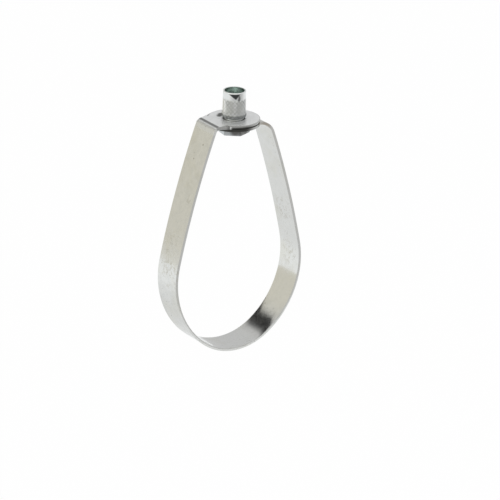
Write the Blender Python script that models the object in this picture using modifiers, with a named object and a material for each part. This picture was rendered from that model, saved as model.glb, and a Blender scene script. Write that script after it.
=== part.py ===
# A swivel ring hanger: one flat steel strap bent into a loop for a pipe, its two ends
# laid over each other as round eyes, and a tubular rod nut that the eyes swivel on.
# The origin is the centre of the nut's mouth, and the rod axis is Z.
import math

import bmesh
import bpy
from mathutils import Vector

# Strap, in metres and radians
STRAP_WIDTH = 0.018
STRAP_THICKNESS = 0.0015
STRAP_EDGE_ROUND = 0.0003

# Loop, as the path of the strap's edges at the middle of its thickness
BELLY_RADIUS = 0.0346
BELLY_HALF_ANGLE = math.radians(36)
SIDE_RADIUS = 0.048
LEG_BOW_RADIUS = 0.535
LOOP_DEPTH = 0.0961  # belly arc's centre to the upper eye
UPPER_BEND_RADIUS = 0.0028
LOWER_BEND_RADIUS = 0.0094

# Edges that stand out from the strap's middle round the lower half of the loop
EDGE_FLARE = 0.0003
EDGE_FLARE_WIDTH = 0.0035
FLARE_START = math.radians(-1)
FLARE_RUN = math.radians(20)

# Eyes
EYE_RADIUS = 0.01415
EYE_GAP = 0.0003
UPPER_BEND_OUTSET = 0.00408  # from where the edges meet the eye to the bend
LOWER_BEND_OUTSET = 0.00011
HOLE_CLEARANCE = 0.00035
HOLE_CHAMFER = 0.0002

# Nut
BARREL_HEIGHT = 0.0157  # mouth to the upper eye
COLLAR_RADIUS = 0.0062
COLLAR_HEIGHT = 0.0046
COLLAR_LIP = 0.00005
MOUTH_ROUND = 0.0003
KNURL_RADIUS = 0.0063
KNURL_DEPTH = 0.0003
SKIRT_RADIUS = 0.00675
SKIRT_HEIGHT = 0.0024
SKIRT_FLARE = 0.0012  # height over which the barrel widens to its skirt
SKIRT_ROUND = 0.0004
SKIRT_LIFT = 0.0009  # skirt's foot to the upper eye
NECK_RADIUS = 0.0057
FLANGE_CORNER_RADIUS = 0.0088
FLANGE_HEIGHT = 0.0042
FLANGE_EDGE_ROUND = 0.0003
FLANGE_TURN = math.radians(22.3)
SEAT_CLEARANCE = 0.0003
COUNTERBORE_RADIUS = 0.0054
COUNTERBORE_DEPTH = 0.0042
THREAD_RADIUS = 0.0043
LEAD_IN = 0.0006

# Facets
BELLY_STEPS = 9
SIDE_STEPS = 15
LEG_STEPS = 8
BEND_STEPS = 10
TAPER_STEPS = 2
EYE_STEPS = 14
WIDTH_FRACTIONS = 10
ROUND_STEPS = 66  # even, as every other step is a groove of the knurl
KNURL_ROWS = 14
LAST_EYE_ANGLE = math.radians(175)
CUTTER_REACH = 0.002

# Heights and places that follow from the sizes above
UPPER_EYE_Z = -BARREL_HEIGHT - STRAP_THICKNESS / 2
LOWER_EYE_Z = UPPER_EYE_Z - STRAP_THICKNESS - EYE_GAP
FLANGE_TOP_Z = LOWER_EYE_Z - STRAP_THICKNESS / 2 - SEAT_CLEARANCE
FLANGE_BOTTOM_Z = FLANGE_TOP_Z - FLANGE_HEIGHT
BELLY_CENTRE_Z = UPPER_EYE_Z - LOOP_DEPTH
HOLE_RADIUS = NECK_RADIUS + HOLE_CLEARANCE
SKIRT_FOOT_Z = -BARREL_HEIGHT + SKIRT_LIFT
EYE_MEETS_EDGES = math.sqrt(EYE_RADIUS**2 - (STRAP_WIDTH / 2) ** 2)


def clear_scene():
    for obj in list(bpy.data.objects):
        bpy.data.objects.remove(obj, do_unlink=True)


def new_collection(name):
    collection = bpy.data.collections.new(name)
    bpy.context.scene.collection.children.link(collection)
    return collection


def add_object(name, bm, collection):
    mesh = bpy.data.meshes.new(name)
    bm.to_mesh(mesh)
    bm.free()
    obj = bpy.data.objects.new(name, mesh)
    collection.objects.link(obj)
    return obj


def hide_as_cutter(obj):
    obj.display_type = "WIRE"
    obj.hide_render = True


def add_material(obj, name, colour, roughness, metallic):
    material = bpy.data.materials.new(name)
    material.use_nodes = True
    shader = material.node_tree.nodes["Principled BSDF"]
    shader.inputs["Base Color"].default_value = (*colour, 1.0)
    shader.inputs["Roughness"].default_value = roughness
    shader.inputs["Metallic"].default_value = metallic
    obj.data.materials.append(material)


def shade_round(obj, sharp_angle):
    obj.data.shade_smooth()
    obj.data.set_sharp_from_angle(angle=sharp_angle)


def add_boolean(obj, cutter, operation):
    modifier = obj.modifiers.new(cutter.name, "BOOLEAN")
    modifier.operation = operation
    modifier.solver = "EXACT"
    modifier.object = cutter


# The centre, on the inner side, of an arc that touches two given circles from outside.
def touching_arc_centre(first, first_radius, second, second_radius, arc_radius):
    first_reach = arc_radius - first_radius
    second_reach = arc_radius - second_radius
    span = second - first
    along = (first_reach**2 - second_reach**2 + span.length_squared) / (2 * span.length)
    aside = math.sqrt(first_reach**2 - along**2)
    direction = span.normalized()
    return first + direction * along + direction.orthogonal() * aside


def angle_from(centre, point):
    return math.atan2(point.y - centre.y, point.x - centre.x)


# The half loop is a chain of arcs that meet tangentially, from the belly's lowest point
# round one side and up the leg to the level of an eye. Each arc runs from one angle of
# its outward normal to another. Centres hold X and Z.
def half_loop_arcs(eye_z, bend_radius, bend_reach):
    belly = Vector((0.0, BELLY_CENTRE_Z))
    belly_end = -math.pi / 2 + BELLY_HALF_ANGLE
    to_side = BELLY_RADIUS - SIDE_RADIUS
    side = belly + to_side * Vector((math.cos(belly_end), math.sin(belly_end)))
    bend = Vector((bend_reach, eye_z - bend_radius))
    leg = touching_arc_centre(side, SIDE_RADIUS, bend, bend_radius, LEG_BOW_RADIUS)
    leg_start = angle_from(leg, side)
    leg_end = angle_from(leg, bend)
    return [
        (belly, BELLY_RADIUS, -math.pi / 2, belly_end, BELLY_STEPS),
        (side, SIDE_RADIUS, belly_end, leg_start, SIDE_STEPS),
        (leg, LEG_BOW_RADIUS, leg_start, leg_end, LEG_STEPS),
        (bend, bend_radius, leg_end, math.pi / 2, BEND_STEPS),
    ]


# A row across the strap: its place, its normal's angle and its half width.
def half_loop_rows(eye_z, bend_radius, bend_reach):
    rows = []
    for centre, radius, start, end, steps in half_loop_arcs(eye_z, bend_radius, bend_reach):
        first = 1 if rows else 0
        for step in range(first, steps + 1):
            angle = start + (end - start) * step / steps
            x = centre.x + radius * math.cos(angle)
            z = centre.y + radius * math.sin(angle)
            rows.append((x, z, angle, STRAP_WIDTH / 2))
    return rows + eye_rows(bend_reach, eye_z)


# From the bend the strap's edges run straight to the eye, touch its circle and go round it.
def eye_rows(flat_x, eye_z):
    corner_reach = math.hypot(flat_x, STRAP_WIDTH / 2)
    corner_angle = math.atan2(STRAP_WIDTH / 2, flat_x)
    touch_angle = corner_angle + math.acos(EYE_RADIUS / corner_reach)
    touch_x = EYE_RADIUS * math.cos(touch_angle)
    touch_half = EYE_RADIUS * math.sin(touch_angle)
    rows = []
    for step in range(1, TAPER_STEPS):
        share = step / TAPER_STEPS
        x = flat_x + (touch_x - flat_x) * share
        half = STRAP_WIDTH / 2 + (touch_half - STRAP_WIDTH / 2) * share
        rows.append((x, eye_z, math.pi / 2, half))
    for step in range(EYE_STEPS + 1):
        angle = touch_angle + (LAST_EYE_ANGLE - touch_angle) * step / EYE_STEPS
        x = EYE_RADIUS * math.cos(angle)
        half = EYE_RADIUS * math.sin(angle)
        rows.append((x, eye_z, math.pi / 2, half))
    return rows


def strap_rows():
    upper = half_loop_rows(UPPER_EYE_Z, UPPER_BEND_RADIUS, EYE_MEETS_EDGES + UPPER_BEND_OUTSET)
    lower = half_loop_rows(LOWER_EYE_Z, LOWER_BEND_RADIUS, EYE_MEETS_EDGES + LOWER_BEND_OUTSET)
    mirrored = [(-x, z, math.pi - angle, half) for x, z, angle, half in upper]
    return mirrored[::-1] + lower[1:]


# How far a point of the strap lies inside the path of its edges.
def belly_inset(angle, distance_from_edge):
    below_widest = -math.asin(math.sin(angle))
    grown = max(0.0, min(1.0, (FLARE_START + below_widest) / FLARE_RUN))
    ramp = grown * grown * (3 - 2 * grown)
    across = min(1.0, distance_from_edge / EDGE_FLARE_WIDTH)
    return EDGE_FLARE * ramp * across * (2 - across)


# Shares of the half width at which the strap has a line of points: close together
# where its edge flares, and one along the middle.
def width_shares():
    flare_share = EDGE_FLARE_WIDTH / (STRAP_WIDTH / 2)
    near_edge = WIDTH_FRACTIONS // 2 - 1
    outer = [1 - flare_share * step / near_edge for step in range(near_edge + 1)]
    return outer + [0.0] + [-share for share in reversed(outer)]


# The strap starts as a flat strip of quads, whose rows are then laid along the bent path.
def make_ring_band(collection, cutters):
    rows = strap_rows()
    shares = width_shares()
    last_row = len(rows) - 1
    last_share = len(shares) - 1
    bm = bmesh.new()
    bmesh.ops.create_grid(bm, x_segments=last_row, y_segments=last_share, size=1.0)
    for vert in bm.verts:
        row = round((vert.co.x + 1) / 2 * last_row)
        column = round((vert.co.y + 1) / 2 * last_share)
        x, z, angle, half_width = rows[row]
        y = shares[column] * half_width
        inset = belly_inset(angle, half_width - abs(y))
        vert.co.x = x - inset * math.cos(angle)
        vert.co.y = y
        vert.co.z = z - inset * math.sin(angle)
    band = add_object("ring_band", bm, collection)
    shade_round(band, math.radians(35))
    wall = band.modifiers.new("strap_thickness", "SOLIDIFY")
    wall.thickness = STRAP_THICKNESS
    wall.offset = 0
    wall.use_even_offset = True
    edge = band.modifiers.new("strap_edge_round", "BEVEL")
    edge.limit_method = "ANGLE"
    edge.angle_limit = math.radians(60)
    edge.width = STRAP_EDGE_ROUND
    edge.segments = 2
    add_boolean(band, make_hole_cutter(cutters), "DIFFERENCE")
    add_material(band, "galvanised_strap", (0.60, 0.60, 0.57), 0.38, 1.0)
    return band


# A turned solid from a profile of radius and height that runs down its outside.
def turned_mesh(profile):
    bm = bmesh.new()
    verts = [bm.verts.new((radius, 0.0, z)) for radius, z in profile]
    edges = [bm.edges.new(pair) for pair in zip(verts, verts[1:])]
    bmesh.ops.spin(
        bm,
        geom=verts + edges,
        cent=(0.0, 0.0, 0.0),
        axis=(0.0, 0.0, 1.0),
        angle=2 * math.pi,
        steps=ROUND_STEPS,
        use_merge=True,
    )
    bmesh.ops.remove_doubles(bm, verts=bm.verts, dist=0.000001)
    bmesh.ops.recalc_face_normals(bm, faces=bm.faces)
    return bm


# Cuts the holes of both eyes, each with a small chamfer at its faces.
def make_hole_cutter(collection):
    mouth = HOLE_RADIUS + HOLE_CHAMFER
    profile = [(0.0, UPPER_EYE_Z + CUTTER_REACH), (mouth, UPPER_EYE_Z + CUTTER_REACH)]
    for eye_z in (UPPER_EYE_Z, LOWER_EYE_Z):
        top = eye_z + STRAP_THICKNESS / 2
        bottom = eye_z - STRAP_THICKNESS / 2
        profile += [
            (mouth, top),
            (HOLE_RADIUS, top - HOLE_CHAMFER),
            (HOLE_RADIUS, bottom + HOLE_CHAMFER),
            (mouth, bottom),
        ]
    profile += [(mouth, LOWER_EYE_Z - CUTTER_REACH), (0.0, LOWER_EYE_Z - CUTTER_REACH)]
    cutter = add_object("eye_hole_cutter", turned_mesh(profile), collection)
    hide_as_cutter(cutter)
    return cutter


def quarter_round(centre_radius, centre_z, radius, start, end, steps):
    points = []
    for step in range(steps + 1):
        angle = start + (end - start) * step / steps
        points.append((centre_radius + radius * math.cos(angle), centre_z + radius * math.sin(angle)))
    return points


# The heights of the knurl's rows, from the collar down to the skirt's round foot.
def knurl_heights():
    drop = (COLLAR_HEIGHT + SKIRT_FOOT_Z + SKIRT_ROUND) / KNURL_ROWS
    return [-COLLAR_HEIGHT + drop * row for row in range(KNURL_ROWS + 1)]


def barrel_radius(z):
    above_skirt = z - SKIRT_FOOT_Z - SKIRT_HEIGHT
    grown = max(0.0, min(1.0, 1 - above_skirt / SKIRT_FLARE))
    return KNURL_RADIUS + (SKIRT_RADIUS - KNURL_RADIUS) * grown * grown * (3 - 2 * grown)


# The nut's outside: rounded mouth, smooth collar, knurled barrel with its skirt, and neck.
def barrel_profile():
    lip_radius = COLLAR_RADIUS + COLLAR_LIP
    skirt_edge = SKIRT_RADIUS - KNURL_DEPTH
    mouth = quarter_round(lip_radius - MOUTH_ROUND, -MOUTH_ROUND, MOUTH_ROUND, math.pi / 2, 0.0, 4)
    foot_radius = skirt_edge - SKIRT_ROUND
    foot_z = SKIRT_FOOT_Z + SKIRT_ROUND
    foot = quarter_round(foot_radius, foot_z, SKIRT_ROUND, 0.0, -math.pi / 2, 4)
    heights = knurl_heights()
    return [
        (0.0, 0.0),
        *mouth,
        (COLLAR_RADIUS, -3 * MOUTH_ROUND),
        (COLLAR_RADIUS, heights[0]),
        *[(barrel_radius(z), z) for z in heights[1:-1]],
        *foot,
        (NECK_RADIUS, SKIRT_FOOT_Z),
        (NECK_RADIUS, (FLANGE_TOP_Z + FLANGE_BOTTOM_Z) / 2),
        (0.0, (FLANGE_TOP_Z + FLANGE_BOTTOM_Z) / 2),
    ]


# Every other point of the knurl's grid lies in a groove, and each face is split along its
# two points of that kind, which leaves rows of small pyramids between crossing grooves.
def cut_knurl(bm):
    heights = knurl_heights()
    groove_share = 1 - KNURL_DEPTH / KNURL_RADIUS
    groove_verts = []
    for vert in bm.verts:
        row = (vert.co.z - heights[0]) / (heights[1] - heights[0])
        if round(row) not in range(KNURL_ROWS + 1) or abs(row - round(row)) > 0.01:
            continue
        column = round(math.atan2(vert.co.y, vert.co.x) / (2 * math.pi) * ROUND_STEPS)
        if (round(row) + column) % 2:
            groove_verts.append(vert)
            if 0 < round(row) < KNURL_ROWS:
                vert.co.x *= groove_share
                vert.co.y *= groove_share
    bmesh.ops.connect_verts(bm, verts=groove_verts)


def make_flange(collection):
    bm = bmesh.new()
    bmesh.ops.create_cone(
        bm,
        cap_ends=True,
        segments=6,
        radius1=FLANGE_CORNER_RADIUS,
        radius2=FLANGE_CORNER_RADIUS,
        depth=FLANGE_HEIGHT,
    )
    flange = add_object("hex_flange_tool", bm, collection)
    flange.location.z = (FLANGE_TOP_Z + FLANGE_BOTTOM_Z) / 2
    flange.rotation_euler.z = FLANGE_TURN
    edge = flange.modifiers.new("flange_edge_round", "BEVEL")
    edge.width = FLANGE_EDGE_ROUND
    edge.segments = 2
    hide_as_cutter(flange)
    return flange


# The rod's way through the nut: counterbore, cone to the thread's bore, lead-in at the flange.
def make_bore_cutter(collection):
    seat = COUNTERBORE_DEPTH + (COUNTERBORE_RADIUS - THREAD_RADIUS)
    profile = [
        (0.0, CUTTER_REACH),
        (COUNTERBORE_RADIUS, CUTTER_REACH),
        (COUNTERBORE_RADIUS, -COUNTERBORE_DEPTH),
        (THREAD_RADIUS, -seat),
        (THREAD_RADIUS, FLANGE_BOTTOM_Z + LEAD_IN),
        (THREAD_RADIUS + LEAD_IN, FLANGE_BOTTOM_Z),
        (THREAD_RADIUS + LEAD_IN, FLANGE_BOTTOM_Z - CUTTER_REACH),
        (0.0, FLANGE_BOTTOM_Z - CUTTER_REACH),
    ]
    cutter = add_object("bore_cutter", turned_mesh(profile), collection)
    hide_as_cutter(cutter)
    return cutter


def make_swivel_nut(collection, cutters):
    bm = turned_mesh(barrel_profile())
    cut_knurl(bm)
    nut = add_object("swivel_nut", bm, collection)
    shade_round(nut, math.radians(25))
    add_boolean(nut, make_flange(cutters), "UNION")
    add_boolean(nut, make_bore_cutter(cutters), "DIFFERENCE")
    add_material(nut, "zinc_plated_nut", (0.66, 0.67, 0.67), 0.3, 1.0)
    return nut


def main():
    clear_scene()
    parts = new_collection("swivel_ring_hanger")
    cutters = new_collection("cutters")
    make_ring_band(parts, cutters)
    make_swivel_nut(parts, cutters)


main()
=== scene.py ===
# Swivel ring hanger: the bent strap and its knurled rod nut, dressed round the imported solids.
import math

import bmesh
import bpy
from mathutils import Matrix, Vector


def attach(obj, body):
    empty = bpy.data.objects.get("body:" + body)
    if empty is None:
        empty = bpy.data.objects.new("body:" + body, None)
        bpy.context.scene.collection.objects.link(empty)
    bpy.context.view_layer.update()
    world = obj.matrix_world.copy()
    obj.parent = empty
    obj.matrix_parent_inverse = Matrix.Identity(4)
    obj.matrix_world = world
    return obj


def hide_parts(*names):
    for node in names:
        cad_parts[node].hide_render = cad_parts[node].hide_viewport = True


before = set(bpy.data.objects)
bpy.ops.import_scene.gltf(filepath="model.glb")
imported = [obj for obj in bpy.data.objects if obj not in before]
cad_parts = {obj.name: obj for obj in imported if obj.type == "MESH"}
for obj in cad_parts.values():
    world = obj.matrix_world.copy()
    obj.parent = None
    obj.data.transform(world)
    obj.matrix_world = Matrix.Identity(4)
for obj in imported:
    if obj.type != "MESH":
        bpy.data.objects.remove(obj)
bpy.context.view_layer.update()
print("solids loaded")

mergeDistance = 0.000001  # metres, under which two points are one


# small helpers for meshes
def newVerts(geometry):
    return [item for item in geometry if isinstance(item, bmesh.types.BMVert)]


def newEdges(geometry):
    return [item for item in geometry if isinstance(item, bmesh.types.BMEdge)]


def addPiece(name, bm, smoothAngle):
    mesh = bpy.data.meshes.new(name)
    bm.to_mesh(mesh)
    bm.free()
    piece = bpy.data.objects.new(name, mesh)
    bpy.context.scene.collection.objects.link(piece)
    mesh.shade_smooth()
    mesh.set_sharp_from_angle(angle=math.radians(smoothAngle))
    return piece


def applyModifiers(piece):
    graph = bpy.context.evaluated_depsgraph_get()
    finished = bpy.data.meshes.new_from_object(piece.evaluated_get(graph))
    piece.modifiers.clear()
    piece.data = finished


def smoothRamp(value):
    value = min(1.0, max(0.0, value))
    return value * value * (3 - 2 * value)


def turnRing(bm, profile, steps):  # a closed profile of radius and height, turned about Z
    verts = [bm.verts.new((radius, 0.0, z)) for radius, z in profile]
    edges = [bm.edges.new(pair) for pair in zip(verts, verts[1:] + verts[:1])]
    bmesh.ops.spin(
        bm,
        geom=verts + edges,
        cent=(0.0, 0.0, 0.0),
        axis=(0.0, 0.0, 1.0),
        angle=2 * math.pi,
        steps=steps,
        use_merge=True,
    )
    bmesh.ops.remove_doubles(bm, verts=bm.verts, dist=mergeDistance)
    bmesh.ops.recalc_face_normals(bm, faces=bm.faces)


def roundedCorner(centreRadius, centreZ, radius, startAngle, endAngle, steps):
    points = []
    for step in range(steps + 1):
        angle = math.radians(startAngle + (endAngle - startAngle) * step / steps)
        points.append((centreRadius + radius * math.cos(angle), centreZ + radius * math.sin(angle)))
    return points


# small helpers for shaders
def addNode(tree, kind, inputs=None, **settings):
    node = tree.nodes.new(kind)
    for name, value in settings.items():
        setattr(node, name, value)
    for name, value in (inputs or {}).items():
        if isinstance(value, bpy.types.NodeSocket):
            tree.links.new(value, node.inputs[name])
        else:
            node.inputs[name].default_value = value
    return node


def addMath(tree, operation, first, second=0.0, third=0.0):
    inputs = {0: first, 1: second, 2: third}
    return addNode(tree, "ShaderNodeMath", inputs, operation=operation).outputs[0]


def addProduct(tree, *factors):
    product = factors[0]
    for factor in factors[1:]:
        product = addMath(tree, "MULTIPLY", product, factor)
    return product


def addVector(tree, operation, first, second=(0.0, 0.0, 0.0)):
    node = addNode(tree, "ShaderNodeVectorMath", {0: first, 1: second}, operation=operation)
    return node.outputs["Value" if operation in ("LENGTH", "DISTANCE", "DOT_PRODUCT") else "Vector"]


def addLevel(tree, place):  # a place without its height
    return addVector(tree, "MULTIPLY", place, (1.0, 1.0, 0.0))


def addAlong(tree, place, angle):  # how far a place lies towards a level direction, in degrees from +X
    angle = math.radians(angle)
    return addVector(tree, "DOT_PRODUCT", place, (math.cos(angle), math.sin(angle), 0.0))


def addSplit(tree, place):
    return addNode(tree, "ShaderNodeSeparateXYZ", {"Vector": place}).outputs


def addRange(tree, value, low, high, toLow=0.0, toHigh=1.0):
    inputs = {"Value": value, "From Min": low, "From Max": high, "To Min": toLow, "To Max": toHigh}
    return addNode(tree, "ShaderNodeMapRange", inputs, interpolation_type="SMOOTHSTEP").outputs[0]


def addMix(tree, factor, first, second):
    node = addNode(tree, "ShaderNodeMix", data_type="RGBA")
    for socket, value in (("Factor_Float", factor), ("A_Color", first), ("B_Color", second)):
        target = next(item for item in node.inputs if item.identifier == socket)
        if isinstance(value, bpy.types.NodeSocket):
            tree.links.new(value, target)
        else:
            target.default_value = value
    return next(item for item in node.outputs if item.identifier == "Result_Color")


def layColours(tree, finish, layers):  # each mask lays its colour over the ones before it
    colour = finish["colour"]
    for mask, share, shade in layers:
        colour = addMix(tree, addMath(tree, "MULTIPLY", mask, share), colour, finish[shade])
    return colour


def newGroup(name, inputs, outputs):
    tree = bpy.data.node_groups.new(name, "ShaderNodeTree")
    for label, kind, value in inputs:
        socket = tree.interface.new_socket(name=label, in_out="INPUT", socket_type=kind)
        if value is not None:
            socket.default_value = value
    for label, kind in outputs:
        tree.interface.new_socket(name=label, in_out="OUTPUT", socket_type=kind)
    return tree, addNode(tree, "NodeGroupInput").outputs, addNode(tree, "NodeGroupOutput").inputs


def addMask(tree, group, place, **values):
    return addNode(tree, "ShaderNodeGroup", {"Vector": place, **values}, node_tree=group).outputs["Mask"]


floatSocket, vectorSocket = "NodeSocketFloat", "NodeSocketVector"


# effects that both finishes can use
def makeMottleGroup():  # soft blotches of a hot-dip or electroplated zinc coat
    tree, given, put = newGroup(
        "zincMottle",
        [
            ("Vector", vectorSocket, None),
            ("Size", floatSocket, 0.01),
            ("Low", floatSocket, 0.4),
            ("High", floatSocket, 0.6),
        ],
        [("Mask", floatSocket)],
    )
    scale = addMath(tree, "DIVIDE", 1.0, given["Size"])
    noise = addNode(
        tree,
        "ShaderNodeTexNoise",
        {"Vector": given["Vector"], "Scale": scale, "Detail": 5.0, "Roughness": 0.62, "Distortion": 0.4},
    )
    tree.links.new(addRange(tree, noise.outputs["Fac"], given["Low"], given["High"]), put["Mask"])
    return tree


def makePitGroup():  # small dark pits and specks, gathered in loose clusters
    tree, given, put = newGroup(
        "darkPits",
        [
            ("Vector", vectorSocket, None),
            ("Size", floatSocket, 0.0012),
            ("Share", floatSocket, 0.12),
            ("Cluster", floatSocket, 0.012),
        ],
        [("Mask", floatSocket)],
    )
    cells = addNode(
        tree,
        "ShaderNodeTexVoronoi",
        {"Vector": given["Vector"], "Scale": addMath(tree, "DIVIDE", 1.0, given["Size"]), "Randomness": 1.0},
        feature="F1",
    )
    clusters = addNode(
        tree,
        "ShaderNodeTexNoise",
        {"Vector": given["Vector"], "Scale": addMath(tree, "DIVIDE", 1.0, given["Cluster"]), "Detail": 2.0},
    )
    dots = addRange(tree, cells.outputs["Distance"], 0.34, 0.14)
    chosen = addNode(tree, "ShaderNodeSeparateColor", {"Color": cells.outputs["Color"]}).outputs[0]
    kept = addMath(tree, "LESS_THAN", chosen, given["Share"])
    gathered = addRange(tree, clusters.outputs["Fac"], 0.46, 0.62)
    mask = addMath(tree, "MULTIPLY", addMath(tree, "MULTIPLY", dots, kept), gathered)
    tree.links.new(mask, put["Mask"])
    return tree


def makeGrainGroup():  # fine crystal grain of the coat
    tree, given, put = newGroup(
        "coatGrain",
        [("Vector", vectorSocket, None), ("Size", floatSocket, 0.0006)],
        [("Mask", floatSocket)],
    )
    scale = addMath(tree, "DIVIDE", 1.0, given["Size"])
    fine = addNode(
        tree,
        "ShaderNodeTexNoise",
        {"Vector": given["Vector"], "Scale": scale, "Detail": 3.0, "Roughness": 0.6},
    )
    cells = addNode(
        tree,
        "ShaderNodeTexVoronoi",
        {"Vector": given["Vector"], "Scale": addMath(tree, "MULTIPLY", scale, 0.45)},
        feature="SMOOTH_F1",
    )
    cellShare = addMath(tree, "MULTIPLY", cells.outputs["Distance"], 0.3)
    tree.links.new(addMath(tree, "MULTIPLY_ADD", fine.outputs["Fac"], 0.7, cellShare), put["Mask"])
    return tree


def makeScratchGroup():  # thin handling scratches, drawn out along one direction
    tree, given, put = newGroup(
        "handlingScratches",
        [
            ("Vector", vectorSocket, None),
            ("Turn", floatSocket, 0.0),
            ("Spacing", floatSocket, 0.004),
            ("Share", floatSocket, 0.5),
        ],
        [("Mask", floatSocket)],
    )
    turned = addNode(
        tree,
        "ShaderNodeVectorRotate",
        {"Vector": given["Vector"], "Axis": (0.35, 1.0, 0.2), "Angle": given["Turn"]},
        rotation_type="AXIS_ANGLE",
    )
    drawn = addVector(tree, "MULTIPLY", turned.outputs[0], (1.0, 1.0, 0.05))
    noise = addNode(
        tree,
        "ShaderNodeTexNoise",
        {"Vector": drawn, "Scale": addMath(tree, "DIVIDE", 1.0, given["Spacing"]), "Detail": 6.0},
    )
    line = addMath(tree, "ABSOLUTE", addMath(tree, "SUBTRACT", noise.outputs["Fac"], 0.5))
    thin = addRange(tree, line, 0.006, 0.0)
    place = addNode(
        tree,
        "ShaderNodeTexNoise",
        {"Vector": given["Vector"], "Scale": 140.0, "Detail": 1.0},
    )
    where = addRange(tree, place.outputs["Fac"], given["Share"], 0.75)
    tree.links.new(addMath(tree, "MULTIPLY", thin, where), put["Mask"])
    return tree


zincMottle = makeMottleGroup()
darkPits = makePitGroup()
coatGrain = makeGrainGroup()
handlingScratches = makeScratchGroup()
print("shared shader effects built")


def startMaterial(name):  # bare metal, with the place that its patterns follow
    material = bpy.data.materials.new(name)
    material.use_nodes = True
    tree = material.node_tree
    shader = tree.nodes["Principled BSDF"]
    shader.inputs["Metallic"].default_value = 1.0
    return material, tree, shader, addNode(tree, "ShaderNodeTexCoord").outputs["Object"]


# the camera, at the photograph's viewing angle
cameraPlace = {
    "azimuth": -33.999,  # degrees, from straight in front towards the left
    "elevation": 22.027,
    "roll": 1.538,
    "distance": 2.01866,  # from the middle of the loop's round
    "pivot": (0.0, 0.0, -0.11255),
    "aimRight": 0.01128,  # metres from the pivot, in the picture's own directions
    "aimUp": 0.01897,
    "lens": 265.7,
    "sensor": 36.0,
}


def makeCamera(place):
    azimuth, elevation, roll = (math.radians(place[key]) for key in ("azimuth", "elevation", "roll"))
    back = Vector(
        (
            math.sin(azimuth) * math.cos(elevation),
            -math.cos(azimuth) * math.cos(elevation),
            math.sin(elevation),
        )
    )
    right = Vector((math.cos(azimuth), math.sin(azimuth), 0.0))
    up = back.cross(right)
    pictureRight = right * math.cos(roll) + up * math.sin(roll)
    pictureUp = up * math.cos(roll) - right * math.sin(roll)
    pivot = Vector(place["pivot"])
    position = pivot + back * place["distance"]
    aim = pivot + pictureRight * place["aimRight"] + pictureUp * place["aimUp"]
    axis = (position - aim).normalized()
    across = pictureUp.cross(axis).normalized()
    data = bpy.data.cameras.new("camera")
    data.lens = place["lens"]
    data.sensor_width = place["sensor"]
    data.clip_start = 0.01
    data.clip_end = 50.0
    camera = bpy.data.objects.new("camera", data)
    camera.matrix_world = Matrix((across, axis.cross(across), axis)).transposed().to_4x4()
    camera.location = position
    bpy.context.scene.collection.objects.link(camera)
    bpy.context.scene.camera = camera


makeCamera(cameraPlace)
print("camera placed")

# the bent strap
strap = {
    "width": 0.018,
    "thickness": 0.0015,
    "edgeRound": 0.0003,
    "bellyRadius": 0.0346,
    "bellyHalfAngle": 36.0,
    "bellyCentreZ": -0.11255,
    "sideRadius": 0.048,
    "legBowRadius": 0.535,
    "upperEyeZ": -0.01645,
    "upperBendRadius": 0.0028,
    "upperBendX": 0.014999,
    "lowerEyeZ": -0.01825,
    "lowerBendRadius": 0.0094,
    "lowerBendX": 0.011029,
    "eyeRadius": 0.01415,
    "holeRadius": 0.00605,
    "holeChamfer": 0.0002,
    "flare": 0.0001,  # how far the edges stand out round the lower half
    "flareWidth": 0.0035,
    "flareStart": 1.0,  # degrees below the widest point
    "flareRun": 20.0,
    "columns": 40,
    "bellySteps": 26,
    "sideSteps": 44,
    "legSteps": 30,
    "bendSteps": 16,
    "taperSteps": 4,
    "eyeSteps": 40,
    "lastEyeAngle": 178.0,  # the eye's outline stops this far round, just short of its end
    "cutterReach": 0.003,  # how far the hole's cutter passes the eyes
    "middle": (0.0, 0.0, -0.09),  # the loop's middle, which the inside face looks at
}


def touchingArcCentre(first, firstRadius, second, secondRadius, arcRadius):
    firstReach = arcRadius - firstRadius
    secondReach = arcRadius - secondRadius
    span = second - first
    along = (firstReach**2 - secondReach**2 + span.length_squared) / (2 * span.length)
    aside = math.sqrt(firstReach**2 - along**2)
    direction = span.normalized()
    return first + direction * along + direction.orthogonal() * aside


def angleFrom(centre, point):
    return math.atan2(point.y - centre.y, point.x - centre.x)


def bellyCentres():  # of the belly's arc and the side's, and the angle at which they meet
    belly = Vector((0.0, strap["bellyCentreZ"]))
    bellyEnd = math.radians(-90 + strap["bellyHalfAngle"])
    toSide = strap["bellyRadius"] - strap["sideRadius"]
    return belly, belly + toSide * Vector((math.cos(bellyEnd), math.sin(bellyEnd))), bellyEnd


def sideArcs(eyeZ, bendRadius, bendX):  # the arcs of one half, from the lowest point up
    belly, side, bellyEnd = bellyCentres()
    bend = Vector((bendX, eyeZ - bendRadius))
    leg = touchingArcCentre(side, strap["sideRadius"], bend, bendRadius, strap["legBowRadius"])
    legStart = angleFrom(leg, side)
    legEnd = angleFrom(leg, bend)
    return [
        (belly, bellyEnd + math.pi / 2, strap["bellySteps"]),
        (side, legStart - bellyEnd, strap["sideSteps"]),
        (leg, legEnd - legStart, strap["legSteps"]),
        (bend, math.pi / 2 - legEnd, strap["bendSteps"]),
    ]


def spinRow(bm, row, centre, angle, steps, side):
    verts = list(dict.fromkeys(vert for edge in row for vert in edge.verts))  # each once
    made = bmesh.ops.spin(
        bm,
        geom=verts + row,
        cent=(centre.x * side, 0.0, centre.y),
        axis=(0.0, -side, 0.0),
        angle=angle,
        steps=steps,
    )
    return newEdges(made["geom_last"])


def extendRow(bm, row, x, halfWidth):
    made = bmesh.ops.extrude_edge_only(bm, edges=row)["geom"]
    verts = newVerts(made)
    widest = max(vert.co.y for vert in verts)
    bmesh.ops.scale(bm, vec=(1.0, halfWidth / widest, 1.0), verts=verts)
    bmesh.ops.translate(bm, vec=(x - verts[0].co.x, 0.0, 0.0), verts=verts)
    inRow = set(verts)
    return [edge for edge in newEdges(made) if edge.verts[0] in inRow and edge.verts[1] in inRow]


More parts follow.
